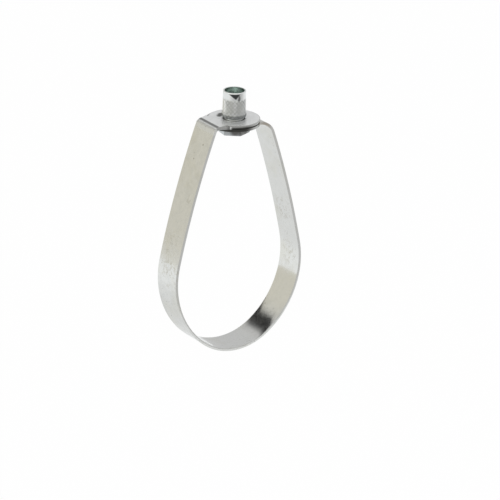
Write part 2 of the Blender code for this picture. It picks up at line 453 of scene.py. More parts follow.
def bendSide(bm, row, eyeZ, bendRadius, bendX, side):
    for centre, angle, steps in sideArcs(eyeZ, bendRadius, bendX):
        row = spinRow(bm, row, centre, angle, steps, side)
    half = strap["width"] / 2
    touch = math.atan2(half, bendX) + math.acos(strap["eyeRadius"] / math.hypot(bendX, half))
    touchX, touchHalf = (strap["eyeRadius"] * share for share in (math.cos(touch), math.sin(touch)))
    for step in range(1, strap["taperSteps"]):  # straight edges from the bend to the eye
        share = step / strap["taperSteps"]
        row = extendRow(bm, row, side * (bendX + (touchX - bendX) * share), half + (touchHalf - half) * share)
    lastAngle = math.radians(strap["lastEyeAngle"])
    for step in range(strap["eyeSteps"] + 1):  # round the eye
        angle = touch + (lastAngle - touch) * step / strap["eyeSteps"]
        x, reach = strap["eyeRadius"] * math.cos(angle), strap["eyeRadius"] * math.sin(angle)
        row = extendRow(bm, row, side * x, reach)


def flareEdges(bm):  # the strap's middle lies inside the path of its edges round the belly
    belly, side = bellyCentres()[:2]
    bellySlope = math.tan(math.radians(strap["bellyHalfAngle"]))
    for vert in bm.verts:
        if vert.co.z > side.y:
            continue
        centre = belly
        if abs(vert.co.x) > bellySlope * (belly.y - vert.co.z):
            centre = Vector((abs(side.x), side.y))
        outward = Vector((vert.co.x - centre.x, vert.co.z - centre.y)).normalized()
        below = math.degrees(math.asin(-outward.y))
        grown = smoothRamp((below - strap["flareStart"]) / strap["flareRun"])
        across = min(1.0, (strap["width"] / 2 - abs(vert.co.y)) / strap["flareWidth"])
        inset = strap["flare"] * grown * across * (2 - across)
        vert.co.x -= outward.x * inset
        vert.co.z -= outward.y * inset


def makeHoleCutter():
    bm = bmesh.new()
    radius = strap["holeRadius"]
    mouth = radius + strap["holeChamfer"]
    above = strap["upperEyeZ"] + strap["cutterReach"]
    below = strap["lowerEyeZ"] - strap["cutterReach"]
    profile = [(0.0, above), (mouth, above)]
    for eyeZ in (strap["upperEyeZ"], strap["lowerEyeZ"]):
        top = eyeZ + strap["thickness"] / 2
        bottom = eyeZ - strap["thickness"] / 2
        profile += [
            (mouth, top),
            (radius, top - strap["holeChamfer"]),
            (radius, bottom + strap["holeChamfer"]),
            (mouth, bottom),
        ]
    profile += [(mouth, below), (0.0, below)]
    turnRing(bm, profile, 96)
    return addPiece("holeCutter", bm, 30)


def markOutside(mesh):  # 1 on the face that looks away from the loop's middle, 0 on the one towards it
    middle = Vector(strap["middle"])
    side = mesh.attributes.new("outside", "FLOAT", "POINT")
    for vert in mesh.vertices:
        away = vert.co - middle
        away.y = 0.0
        side.data[vert.index].value = 1.0 if vert.normal.dot(away) > 0 else 0.0


def makeStrap():
    bm = bmesh.new()
    lowest = strap["bellyCentreZ"] - strap["bellyRadius"]
    ends = [bm.verts.new((0.0, y, lowest)) for y in (-strap["width"] / 2, strap["width"] / 2)]
    line = bm.edges.new(ends)
    bmesh.ops.subdivide_edges(bm, edges=[line], cuts=strap["columns"] - 1)
    firstRow = list(bm.edges)
    bendSide(bm, firstRow, strap["lowerEyeZ"], strap["lowerBendRadius"], strap["lowerBendX"], 1)
    bendSide(bm, firstRow, strap["upperEyeZ"], strap["upperBendRadius"], strap["upperBendX"], -1)
    bmesh.ops.remove_doubles(bm, verts=bm.verts, dist=mergeDistance)
    bmesh.ops.recalc_face_normals(bm, faces=bm.faces)
    flareEdges(bm)
    piece = addPiece("bentStrap", bm, 40)
    wall = piece.modifiers.new("thickness", "SOLIDIFY")
    wall.thickness = strap["thickness"]
    wall.offset = 0.0
    wall.use_even_offset = True
    cutter = makeHoleCutter()
    hole = piece.modifiers.new("hole", "BOOLEAN")
    hole.operation = "DIFFERENCE"
    hole.solver = "EXACT"
    hole.object = cutter
    edge = piece.modifiers.new("edgeRound", "BEVEL")
    edge.limit_method = "ANGLE"
    edge.angle_limit = math.radians(60)
    edge.width = strap["edgeRound"]
    edge.segments = 3
    edge.harden_normals = False
    applyModifiers(piece)
    bpy.data.objects.remove(cutter, do_unlink=True)
    piece.data.shade_smooth()
    piece.data.set_sharp_from_angle(angle=math.radians(30))
    markOutside(piece.data)
    return piece


bentStrap = makeStrap()
print("strap bent:", len(bentStrap.data.polygons), "faces")

# the rod nut
nut = {
    "mouthRadius": 0.0054,
    "mouthOutside": 0.00625,
    "mouthRound": 0.0003,
    "mouthBevel": 0.00015,
    "counterboreDepth": 0.0042,
    "collarRadius": 0.0062,
    "knurlTop": -0.003275,
    "knurlFull": -0.0052,  # below this the diamonds have their whole height
    "knurlBottom": -0.0144,
    "knurlRadius": 0.0063,
    "knurlDepth": 0.0003,
    "diamondsAround": 33,
    "diamondRows": 9,
    "stepsPerDiamond": 8,
    "skirtTop": -0.0112,  # the barrel widens from here
    "skirtFull": -0.0124,
    "skirtRadius": 0.00675,
    "skirtRound": 0.0004,
    "skirtFoot": -0.0148,
    "neckRadius": 0.0057,
    "flangeTop": -0.0193,
    "flangeBottom": -0.0235,
    "flangeCorner": 0.0088,
    "flangeRound": 0.0003,
    "flangeTurn": 22.3,
    "threadCrest": 0.0043,
    "threadRoot": 0.0049,
    "threadPitch": 0.0015,
    "threadRows": 72,
    "leadIn": 0.0006,
    "rimTaper": 0.00005,  # how far the rim has drawn in at its foot
    "rimFoot": -0.0006,
    "collarRows": (-0.001, -0.002),
    "boreRow": -0.0021,
    "flangeRow": 0.0070,
    "flangeSharpness": 110,  # a higher one gives sharper corners
    "diamondSlope": 1.12,  # over 1, the diamonds' peaks are flat
    "knurlRunOut": 0.0003,
    "threadRunOut": 0.0008,
    "threadSlope": 1.25,
    "threadFlat": 0.12,
    "slack": 0.000001,
    "radiusSlack": 0.00001,
}


def diamondHeight(angle, z):  # 1 at a diamond's peak, 0 in the grooves between them
    around = angle / (2 * math.pi) * nut["diamondsAround"]
    down = (nut["knurlTop"] - z) / (nut["knurlTop"] - nut["knurlBottom"]) * nut["diamondRows"]
    slopes = [abs(value - round(value)) for value in (around + down, around - down)]
    return min(1.0, nut["diamondSlope"] * (1 - 2 * max(slopes)))


def barrelRadius(z):
    grown = smoothRamp((nut["skirtTop"] - z) / (nut["skirtTop"] - nut["skirtFull"]))
    return nut["knurlRadius"] + (nut["skirtRadius"] - nut["knurlRadius"]) * grown


def threadEnds():
    bottom = nut["flangeBottom"] + nut["leadIn"]
    top = -nut["counterboreDepth"] - (nut["mouthRadius"] - nut["threadCrest"])
    return bottom, top


def nutProfile():
    r, rounding, bevel = nut["mouthOutside"], nut["mouthRound"], nut["mouthBevel"]
    outside = [(nut["mouthRadius"] + bevel, 0.0)]
    outside += roundedCorner(r - rounding, -rounding, rounding, 90, 0, 5)
    outside += [(r - nut["rimTaper"], nut["rimFoot"])]
    outside += [(nut["collarRadius"], z) for z in nut["collarRows"]]
    rows = nut["diamondRows"] * nut["stepsPerDiamond"]
    for row in range(rows + 1):
        z = nut["knurlTop"] + (nut["knurlBottom"] - nut["knurlTop"]) * row / rows
        outside.append((barrelRadius(z), z))
    footRadius = nut["skirtRadius"] - nut["knurlDepth"] - nut["skirtRound"]
    outside += roundedCorner(footRadius, nut["knurlBottom"], nut["skirtRound"], 0, -90, 6)[1:]
    outside += [(nut["neckRadius"], nut["skirtFoot"]), (nut["neckRadius"], nut["flangeTop"])]
    r, rounding = nut["flangeCorner"], nut["flangeRound"]
    outside += [(nut["flangeRow"], nut["flangeTop"])]
    outside += roundedCorner(r - rounding, nut["flangeTop"] - rounding, rounding, 90, 0, 4)
    outside += roundedCorner(r - rounding, nut["flangeBottom"] + rounding, rounding, 0, -90, 4)
    outside += [(nut["flangeRow"], nut["flangeBottom"])]
    bottom, top = threadEnds()
    inside = [(nut["threadCrest"] + nut["leadIn"], nut["flangeBottom"])]
    for row in range(nut["threadRows"] + 1):
        inside.append((nut["threadCrest"], bottom + (top - bottom) * row / nut["threadRows"]))
    inside += [(nut["mouthRadius"], z) for z in (-nut["counterboreDepth"], nut["boreRow"], -bevel)]
    return outside + inside


def cutKnurl(bm):
    lowest, highest = nut["knurlBottom"] - nut["slack"], nut["knurlTop"] + nut["slack"]
    for vert in bm.verts:
        radius = math.hypot(vert.co.x, vert.co.y)
        if radius < nut["collarRadius"] or not lowest < vert.co.z < highest:
            continue
        grown = smoothRamp((nut["knurlTop"] - vert.co.z) / (nut["knurlTop"] - nut["knurlFull"]))
        ended = smoothRamp((vert.co.z - nut["knurlBottom"]) / nut["knurlRunOut"])
        height = diamondHeight(math.atan2(vert.co.y, vert.co.x), vert.co.z) * ended
        cut = barrelRadius(vert.co.z) - nut["knurlDepth"] * (1 - height)
        wanted = nut["collarRadius"] + (cut - nut["collarRadius"]) * grown
        vert.co.xy *= wanted / radius


def cutThread(bm):
    bottom, top = threadEnds()
    for vert in bm.verts:
        radius = math.hypot(vert.co.x, vert.co.y)
        onCrest = abs(radius - nut["threadCrest"]) <= nut["radiusSlack"]
        if not onCrest or not bottom - nut["slack"] < vert.co.z < top + nut["slack"]:
            continue
        turns = vert.co.z / nut["threadPitch"] - math.atan2(vert.co.y, vert.co.x) / (2 * math.pi)
        slope = abs(turns - round(turns)) * 2
        fromEnds = (vert.co.z - bottom, top - vert.co.z)
        fade = math.prod(smoothRamp(distance / nut["threadRunOut"]) for distance in fromEnds)
        deep = min(1.0, max(0.0, nut["threadSlope"] * slope - nut["threadFlat"])) * fade
        wanted = nut["threadCrest"] + (nut["threadRoot"] - nut["threadCrest"]) * deep
        vert.co.xy *= wanted / radius


def shapeFlange(bm):  # the turned flange becomes a hexagon with softened corners
    flat = math.cos(math.radians(30))
    turn = math.radians(nut["flangeTurn"])
    for vert in bm.verts:
        radius = math.hypot(vert.co.x, vert.co.y)
        if radius < nut["neckRadius"] + nut["radiusSlack"] or vert.co.z > nut["flangeTop"] + nut["slack"]:
            continue
        angle = math.atan2(vert.co.y, vert.co.x)
        pulls = (max(0.0, math.cos(angle - turn - math.radians(30 + 60 * side))) for side in range(6))
        pull = sum(value ** nut["flangeSharpness"] for value in pulls) ** (1 / nut["flangeSharpness"])
        hexRadius = nut["flangeCorner"] * flat / pull
        share = (radius - nut["neckRadius"]) / (nut["flangeCorner"] - nut["neckRadius"])
        wanted = nut["neckRadius"] + (hexRadius - nut["neckRadius"]) * share
        vert.co.xy *= wanted / radius


def makeNut():
    bm = bmesh.new()
    turnRing(bm, nutProfile(), nut["diamondsAround"] * nut["stepsPerDiamond"])
    cutKnurl(bm)
    cutThread(bm)
    shapeFlange(bm)
    return addPiece("rodNut", bm, 32)


rodNut = makeNut()
print("nut turned:", len(rodNut.data.polygons), "faces")

# the finishes
strapFinish = {
    "colour": (0.775, 0.775, 0.755, 1.0),
    "warm": (0.75, 0.745, 0.70, 1.0),
    "cloud": (0.50, 0.51, 0.50, 1.0),
    "pit": (0.30, 0.29, 0.25, 1.0),
    "eye": (0.85, 0.855, 0.85, 1.0),
    "rim": (0.43, 0.43, 0.42, 1.0),
    "mottle": (0.46, 0.43, 0.35, 1.0),
    # painted reflection: the brownish tone at the front of the lower bend
    "paintedReflection": (0.475, 0.42, 0.356, 1.0),
    # painted shade: the near-black tone of the shadows and dark reflections painted on the eyes, their rims
    # and the crease
    "paintedShade": (0.04, 0.04, 0.035, 1.0),
    "roughness": 0.12,
    "eyeMetallic": 0.7,
    "addedRoughness": {
        "clouds": 0.06,
        "eye": 0.20,
        "pits": 0.2,
        "mottled": 0.12,
        "scratches": -0.05,
        "stretched": 0.35,
    },
    "shares": {  # how far each mark covers the colours below it
        "mottled": 0.38,
        "pits": 0.45,
        "specks": 0.6,
        "bendReflection": 0.8,
        "barrelShadow": 0.97,
        "creaseShade": 0.75,
        "rimGlintShade": 0.6,
        "rimShade": 0.93,
    },
    "cloudShares": (0.10, 0.10),  # what the outside face adds, as painted shade that darkens that face, and what both faces have
    "mottledPlaces": (  # centre and radius
        ((-0.0379, 0.002, -0.083), 0.011),
        ((-0.0405, -0.002, -0.097), 0.013),
        ((-0.0307, -0.0055, -0.0555), 0.004),
        ((0.0346, 0.0, -0.074), 0.010),
        ((0.0394, 0.0, -0.101), 0.010),
    ),
    "specks": (
        ((-0.0214, -0.003, -0.0265), 0.0008),
        ((-0.0243, 0.00125, -0.035), 0.0007),
        ((-0.0365, 0.003, -0.0755), 0.0006),
    ),
    "bendReflectionSpot": ((0.0142, -0.0085, -0.0204), 0.0052),
    # painted shadow on the upper eye beside the barrel's foot
    "barrelShadow": (
        ((-0.0026, 0.0087, -0.0157), 0.0022),
        ((-0.0038, 0.0076, -0.0157), 0.0025),
        ((-0.0051, 0.0064, -0.0157), 0.0022),
    ),
    # painted shade: a spot that dims a glint on the upper eye's rim
    "rimGlintShade": ((-0.0096, -0.0104, -0.0167), 0.0024),
    "rimShadeFrom": -120.0,  # degrees round the nut, the middle of the painted shade on the eyes' rims
    "rimShadeReach": (22.0, 46.0),
    "eyeHeights": (-0.0168, -0.0161),  # here and below, metres over which a mask grows from 0 to 1
    "rimInsets": (0.0004, 0.00015),  # inside the eye's outline
    "gapInsets": (0.0009, 0.0006),
    "gapHeights": (-0.0160, -0.0163),
    "eyesPart": (-0.01725, -0.01715),
    "rimEnds": (-0.0110, -0.0107),
    "rimOutside": (0.0148, 0.0145),
    "rimLowest": (-0.0195, -0.0191),
    "rimShadeHeights": (-0.0162, -0.0168, 0.2, 1.0),
    "creviceBottom": (-0.0178, -0.0175),
    "creviceTop": (-0.0167, -0.0170),
    "edgeFront": (-0.0085, -0.0088),
    "edgeStart": (-0.0096, -0.0102),
    "edgeEnd": (-0.0172, -0.0160),
    "edgeLowest": (-0.0195, -0.0190),
    "creaseLeft": (-0.0172, -0.0163),
    "creaseRight": (-0.0147, -0.0154),
    "creaseHeights": (-0.0171, -0.0168),
    "stretchedHeights": (-0.0205, -0.0190),
    "stretchedFrom": (-0.0152, -0.0157),
}


spotCore = 0.35  # the share of a spot's radius that has its whole strength


def addSpot(tree, place, centre, radius):  # 1 in the middle, fading to 0 at the radius
    return addRange(tree, addVector(tree, "DISTANCE", place, centre), radius, radius * spotCore)


def addSpots(tree, place, spots):
    mask = addSpot(tree, place, *spots[0])
    for centre, radius in spots[1:]:
        mask = addMath(tree, "MAXIMUM", mask, addSpot(tree, place, centre, radius))
    return mask


def addRimMasks(tree, place):  # the eyes' rims with the straight edge beside the upper one, whose darker tone also lies as painted shade in the gap between the eyes, and the painted shade on the rims
    look = strapFinish
    split = addSplit(tree, place)
    x, y, z = split["X"], split["Y"], split["Z"]
    level = addLevel(tree, place)
    reach = addVector(tree, "LENGTH", level)
    turn = addAlong(tree, addVector(tree, "NORMALIZE", level), look["rimShadeFrom"])
    near, far = (math.cos(math.radians(angle)) for angle in look["rimShadeReach"])
    onRim = addRange(tree, reach, *(strap["eyeRadius"] - inset for inset in look["rimInsets"]))
    # the gap between the eyes takes the rims' darker tone as painted shade
    inGap = addRange(tree, reach, *(strap["eyeRadius"] - inset for inset in look["gapInsets"]))
    inGap = addProduct(tree, inGap, addRange(tree, z, *look["gapHeights"]))
    upper = addRange(tree, z, *look["eyesPart"], -1.0, 1.0)  # -1 on the lower eye, 1 on the upper one
    fromBend = addMath(tree, "MULTIPLY", x, upper)  # an eye has no rim where its strap leaves it
    onRim = addProduct(
        tree,
        addMath(tree, "MAXIMUM", onRim, inGap),
        addRange(tree, fromBend, *look["rimEnds"]),
        addRange(tree, reach, *look["rimOutside"]),
        addRange(tree, z, *look["rimLowest"]),
    )
    # painted shade on the rims' front stretch, for the dark reflection there and the shadow between the eyes
    paintedShade = addProduct(tree, onRim, addRange(tree, turn, far, near), addRange(tree, z, *look["rimShadeHeights"]))
    # painted shade in the crevice between the two eyes
    crevice = addProduct(
        tree,
        addRange(tree, z, *look["creviceBottom"]),
        addRange(tree, z, *look["creviceTop"]),
        onRim,
    )
    onEdge = addProduct(
        tree,
        addRange(tree, y, *look["edgeFront"]),
        addRange(tree, x, *look["edgeStart"]),
        addRange(tree, x, *look["edgeEnd"]),
        addRange(tree, z, *look["edgeLowest"]),
    )
    return addMath(tree, "MAXIMUM", onRim, onEdge), addMath(tree, "MAXIMUM", paintedShade, crevice)


def makeStrapFinish():
    material, tree, shader, place = startMaterial("galvanisedSheet")
    look, shares, added = strapFinish, strapFinish["shares"], strapFinish["addedRoughness"]
    outside = addNode(tree, "ShaderNodeAttribute", attribute_name="outside").outputs["Fac"]
    split = addSplit(tree, place)
    x, height = split["X"], split["Z"]
    onEye = addRange(tree, height, *look["eyeHeights"])
    blotches = addMask(tree, zincMottle, place, Size=0.014, Low=0.44, High=0.66)
    clouds = addMask(tree, zincMottle, place, Size=0.0035, Low=0.36, High=0.70)
    flakes = addMask(tree, zincMottle, place, Size=0.0024, Low=0.50, High=0.60)
    pits = addMask(tree, darkPits, place, Size=0.0013, Share=0.2, Cluster=0.011)
    grain = addMask(tree, coatGrain, place, Size=0.00045)
    scratches = addMask(tree, handlingScratches, place, Turn=0.5, Spacing=0.005)
    specks = addSpots(tree, place, look["specks"])
    mottled = addProduct(tree, addSpots(tree, place, look["mottledPlaces"]), flakes)
    # painted reflection at the lower bend's front
    bendReflection = addSpot(tree, place, *look["bendReflectionSpot"])
    # painted shadow beside the barrel
    barrelShadow = addSpots(tree, place, look["barrelShadow"])
    onRim, rimShade = addRimMasks(tree, place)
    # painted shade: a spot that dims a glint on the rim
    rimGlintShade = addProduct(tree, addSpot(tree, place, *look["rimGlintShade"]), shares["rimGlintShade"], onRim)
    rimShade = addMath(tree, "MAXIMUM", rimShade, rimGlintShade)
    # painted shade: a dark line along the upper bend's crease
    creaseShade = addProduct(
        tree,
        addRange(tree, x, *look["creaseLeft"]),
        addRange(tree, x, *look["creaseRight"]),
        addRange(tree, height, *look["creaseHeights"]),
    )
    stretched = addProduct(
        tree, addRange(tree, height, *look["stretchedHeights"]), addRange(tree, x, *look["stretchedFrom"])
    )
    colour = layColours(
        tree,
        look,
        (
            (blotches, 1.0, "warm"),
            (onEye, 1.0, "eye"),
            (clouds, addMath(tree, "MULTIPLY_ADD", outside, *look["cloudShares"]), "cloud"),
            (mottled, shares["mottled"], "mottle"),
            (pits, shares["pits"], "pit"),
            (specks, shares["specks"], "pit"),
            (bendReflection, shares["bendReflection"], "paintedReflection"),
            (barrelShadow, shares["barrelShadow"], "paintedShade"),
            (creaseShade, shares["creaseShade"], "paintedShade"),
            (onRim, 1.0, "rim"),
            # painted shade on the eyes' rims
            (rimShade, shares["rimShade"], "paintedShade"),
        ),
    )
    tree.links.new(colour, shader.inputs["Base Color"])
    tree.links.new(addRange(tree, onEye, 0.0, 1.0, 1.0, look["eyeMetallic"]), shader.inputs["Metallic"])
    rough = look["roughness"]
    for mask, key in (
        (clouds, "clouds"),
        (onEye, "eye"),
        (pits, "pits"),
        (mottled, "mottled"),
        (scratches, "scratches"),
        (stretched, "stretched"),
    ):
        rough = addMath(tree, "MULTIPLY_ADD", mask, added[key], rough)
    tree.links.new(rough, shader.inputs["Roughness"])
    bump = addNode(tree, "ShaderNodeBump", {"Height": grain, "Strength": 0.07, "Distance": 0.0001})
    hollows = addMath(tree, "MULTIPLY", addMath(tree, "MAXIMUM", pits, specks), -1.0)
    dents = addNode(
        tree,
        "ShaderNodeBump",
        {"Height": hollows, "Strength": 0.5, "Distance": 0.0001, "Normal": bump.outputs[0]},
    )
    tree.links.new(dents.outputs[0], shader.inputs["Normal"])
    return material


nutFinish = {
    "colour": (0.77, 0.78, 0.77, 1.0),
    "cloud": (0.60, 0.64, 0.60, 1.0),
    "diamond": (0.89, 0.895, 0.88, 1.0),
    # painted shade: the flange, under the eyes, is darkened
    "flange": (0.36, 0.39, 0.41, 1.0),
    # painted highlight: a lighter tone on the mouth's lip
    "lipHighlight": (0.95, 0.96, 0.95, 1.0),
    "bore": (0.50, 0.58, 0.54, 1.0),
    # painted shade in the knurl's grooves, laid in a net
    "grooveShade": (0.07, 0.075, 0.07, 1.0),
    # painted shade: the barrel's front side is darkened, and its foot above the eyes carries a painted shadow
    "barrelShade": (0.16, 0.175, 0.18, 1.0),
    "pit": (0.3, 0.3, 0.28, 1.0),
    # painted reflection: the dark tone on the flange's front facets, and the brownish one at the strap's
    # lower bend
    "paintedReflection": (0.13, 0.125, 0.12, 1.0),
    # painted reflection: the near-black tone of the wedge under the mouth
    "black": (0.022, 0.026, 0.026, 1.0),
    "roughness": 0.2,
    "cloudRoughness": 0.08,  # what the blotches add to it
    "shares": {  # how far each mark covers the colours below it
        "cloud": 0.25,
        "diamond": 0.9,
        "flange": 0.6,
        "barrelShade": 0.25,
        "footShadow": 0.8,
        "pit": 0.4,
        "paintedReflection": 0.92,
        "wedgeTip": 0.7,
        "mouthReflection": 0.94,
    },
    "netAround": 18,
    "netHeight": 0.0023,
    "netLines": (0.60, 0.10),
    "netReach": (-0.001, 0.0045, 0.12, 0.62),  # across the shaded side, and how strong the net is there
    "front": -124.0,  # degrees round the nut, the middle of the painted dark reflection under its mouth
    "shadedFrom": -112.0,  # and of the stretch of the barrel darkened with painted shade
    "shadedReach": (-0.001, 0.0062),  # here and below, metres over which a mask grows from 0 to 1
    "borePast": (0.0002, 0.00005),  # outside the mouth's radius
    "lipHeights": (-0.0004, -0.0002),
    "grooveInsets": (0.00002, 0.00022),  # inside the diamonds' peaks
    "grooveLeast": 0.15,
    "footFade": 0.0002,
    "footHeights": (-0.0119, -0.0134),
    "footEnds": (-0.0152, -0.0148, 0.35, 1.0),
    "aboveFlange": (0.0004, 0.0008),
    "belowEyes": (-0.0194, -0.0199),
    "markSides": (  # the wedge's two sides: offset, then slope across and along the height
        (0.0042, 0.597, 0.802),
        (-0.0040, -0.781, 0.625),
    ),
    "markFade": (0.0, 0.0005),
    "markFront": (0.0, 0.002),
    "markTop": (-0.0004, -0.0007),
    # painted reflection: the spots that draw the wedge's tip
    "wedgeTipSpots": (
        ((-0.0009, -0.00614, -0.0021), 0.0009),
        ((-0.0009, -0.00614, -0.0029), 0.0010),
        ((-0.0010, -0.00614, -0.0037), 0.0012),
    ),
    # painted reflection on the flange's front facets
    "flangeReflectionSpots": (
        ((-0.0034, -0.0068, -0.0208), 0.0040),
        ((-0.0003, -0.0078, -0.0210), 0.0042),
        ((0.0027, -0.0074, -0.0214), 0.0040),
    ),
}


def addHatch(tree, place, height):  # how much painted shade the grooves get, in a net wider than the diamonds
    split = addSplit(tree, place)
    angle = addMath(tree, "ARCTAN2", split["Y"], split["X"])
    around = addMath(tree, "MULTIPLY", angle, nutFinish["netAround"] / 2)
    down = addMath(tree, "MULTIPLY", height, math.pi / nutFinish["netHeight"])
    oneWay, otherWay = (
        addMath(tree, "ABSOLUTE", addMath(tree, "SINE", addMath(tree, operation, around, down)))
        for operation in ("ADD", "SUBTRACT")
    )
    nearLine = addRange(tree, addMath(tree, "MINIMUM", oneWay, otherWay), *nutFinish["netLines"])
    netted = addRange(tree, addAlong(tree, place, nutFinish["shadedFrom"]), *nutFinish["netReach"])
    return addProduct(tree, nearLine, netted)


def addMouthReflection(tree, place, height):  # a painted dark reflection: a wedge under the mouth, on its front only
    across = addAlong(tree, place, nutFinish["front"] + 90)
    sides = []
    for offset, slopeAcross, slopeUp in nutFinish["markSides"]:
        fromCorner = addMath(tree, "ADD", across, offset)
        upwards = addMath(tree, "MULTIPLY", height, slopeUp)
        sides.append(addMath(tree, "MULTIPLY_ADD", fromCorner, slopeAcross, upwards))
    return addProduct(
        tree,
        addRange(tree, addMath(tree, "MINIMUM", *sides), *nutFinish["markFade"]),
        addRange(tree, addAlong(tree, place, nutFinish["front"]), *nutFinish["markFront"]),
        addRange(tree, height, *nutFinish["markTop"]),
    )


def makeNutFinish():
    material, tree, shader, place = startMaterial("zincPlatedNut")
    look, shares = nutFinish, nutFinish["shares"]
    height = addSplit(tree, place)["Z"]
    radius = addVector(tree, "LENGTH", addLevel(tree, place))
    inBore = addRange(tree, radius, *(nut["mouthRadius"] + past for past in look["borePast"]))
    # painted highlight on the lip
    onLip = addRange(tree, height, *look["lipHeights"])
    skirt = addRange(tree, height, nut["skirtTop"], nut["skirtFull"])
    widening = addMath(tree, "MULTIPLY", skirt, nut["skirtRadius"] - nut["knurlRadius"])
    straight = addMath(tree, "SUBTRACT", radius, widening)  # the radius, had the barrel not widened
    grooveRadii = (nut["knurlRadius"] - inset for inset in look["grooveInsets"])
    inGroove = addRange(tree, straight, *grooveRadii, look["grooveLeast"], 1.0)
    onKnurl = addProduct(
        tree,
        addRange(tree, height, nut["knurlTop"], nut["knurlFull"]),
        addRange(tree, height, nut["skirtFoot"] - look["footFade"], nut["skirtFoot"]),
    )
    shadedSide = addRange(tree, addAlong(tree, place, look["shadedFrom"]), *look["shadedReach"])
    foot = addProduct(
        tree, addRange(tree, height, *look["footHeights"]), addRange(tree, height, *look["footEnds"])
    )
    aboveEyes = addRange(tree, height, *(nut["flangeTop"] + above for above in look["aboveFlange"]))
    # painted shade on the flange under the eyes
    belowEyes = addRange(tree, height, *look["belowEyes"])
    blotches = addMask(tree, zincMottle, place, Size=0.004, Low=0.42, High=0.68)
    pits = addMask(tree, darkPits, place, Size=0.0007, Share=0.1, Cluster=0.005)
    grain = addMask(tree, coatGrain, place, Size=0.00025)
    # painted shade on the barrel's front, and a painted shadow at its foot above the eyes
    barrelShade = addProduct(tree, shadedSide, onKnurl, shares["barrelShade"])
    footShadow = addProduct(tree, foot, aboveEyes, shares["footShadow"])
    # painted shade in the grooves, in a net
    netShade = addProduct(tree, inGroove, onKnurl, addHatch(tree, place, height))
    flangeReflections = addSpots(tree, place, look["flangeReflectionSpots"])
    wedgeTip = addProduct(tree, addSpots(tree, place, look["wedgeTipSpots"]), shares["wedgeTip"])
    mouthReflection = addProduct(tree, addMouthReflection(tree, place, height), shares["mouthReflection"])
    colour = layColours(
        tree,
        look,
        (
            (blotches, shares["cloud"], "cloud"),
            (onKnurl, shares["diamond"], "diamond"),
            (belowEyes, shares["flange"], "flange"),
            (addMath(tree, "MAXIMUM", barrelShade, footShadow), 1.0, "barrelShade"),
            (netShade, 1.0, "grooveShade"),
            (pits, shares["pit"], "pit"),
            (onLip, 1.0, "lipHighlight"),
            (flangeReflections, shares["paintedReflection"], "paintedReflection"),
            (addMath(tree, "MAXIMUM", mouthReflection, wedgeTip), 1.0, "black"),
            (inBore, 1.0, "bore"),
        ),
    )
    tree.links.new(colour, shader.inputs["Base Color"])
    rough = addMath(tree, "MULTIPLY_ADD", blotches, look["cloudRoughness"], look["roughness"])
    tree.links.new(rough, shader.inputs["Roughness"])
    bump = addNode(tree, "ShaderNodeBump", {"Height": grain, "Strength": 0.12, "Distance": 0.00006})
    tree.links.new(bump.outputs[0], shader.inputs["Normal"])
    return material


bentStrap.data.materials.clear()
bentStrap.data.materials.append(makeStrapFinish())
rodNut.data.materials.append(makeNutFinish())
print("finishes made")

# the studio
studio = {
    "floorZ": -0.8,
    "floorSize": 8.4,
    "floorNear": (0.73, 0.74, 0.74, 1.0),  # what the metal sees of the floor right below it, darker there as a painted shadow
    "floorShade": (0.3, 1.9),  # from there to this far off, the floor grows lighter
    "diffuseLevel": 0.85,
    "leftWall": (0.715, 0.697, 0.617, 1.0),
    "rightWall": (0.625, 0.63, 0.635, 1.0),
    "overhead": (0.63, 0.635, 0.64, 1.0),
    "below": (0.965, 0.985, 0.99, 1.0),
    "white": (1.0, 1.0, 1.0, 1.0),
    "floorColour": (0.9, 0.9, 0.9, 1.0),
    "floorGlow": 0.97,  # the share of its own light in what the camera sees of the floor
    "leftToRight": (-0.25, 0.35),  # over these parts of a direction, one wall passes into the next
    "horizon": (-0.20, -0.10),
    "upwards": (0.3, 0.75),
    "cardSteps": 16,
    "cardDrop": -0.1,  # the cards stand round a point this far below the nut's mouth
    "lampAim": (0.0, 0.0, -0.08),
}


def makeFloor():
    bm = bmesh.new()
    bmesh.ops.create_grid(bm, x_segments=1, y_segments=1, size=studio["floorSize"] / 2)
    bmesh.ops.translate(bm, vec=(0.0, 0.0, studio["floorZ"]), verts=bm.verts)
    floor = addPiece("floor", bm, 30)
    material = bpy.data.materials.new("paleFloor")
    material.use_nodes = True
    tree = material.node_tree
    tree.nodes.clear()
    path = addNode(tree, "ShaderNodeLightPath").outputs
    seen = addMath(
        tree,
        "MAXIMUM",
        path["Is Camera Ray"],
        addMath(tree, "MAXIMUM", path["Is Glossy Ray"], path["Is Transmission Ray"]),
    )
    matte = addNode(tree, "ShaderNodeBsdfDiffuse", {"Color": studio["floorColour"]})
    place = addNode(tree, "ShaderNodeTexCoord").outputs["Object"]
    away = addVector(tree, "LENGTH", addLevel(tree, place))
    # painted shadow: glossy rays see the floor darker right below the object
    shaded = addMix(tree, addRange(tree, away, *studio["floorShade"]), studio["floorNear"], studio["below"])
    tone = addMix(tree, path["Is Glossy Ray"], studio["white"], shaded)
    glow = addNode(tree, "ShaderNodeEmission", {"Color": tone, "Strength": 1.0})
    mixed = addNode(tree, "ShaderNodeMixShader", {0: addMath(tree, "MULTIPLY", seen, studio["floorGlow"])})
    tree.links.new(matte.outputs[0], mixed.inputs[1])
    tree.links.new(glow.outputs[0], mixed.inputs[2])
    end = addNode(tree, "ShaderNodeOutputMaterial")
    tree.links.new(mixed.outputs[0], end.inputs["Surface"])
    floor.data.materials.append(material)


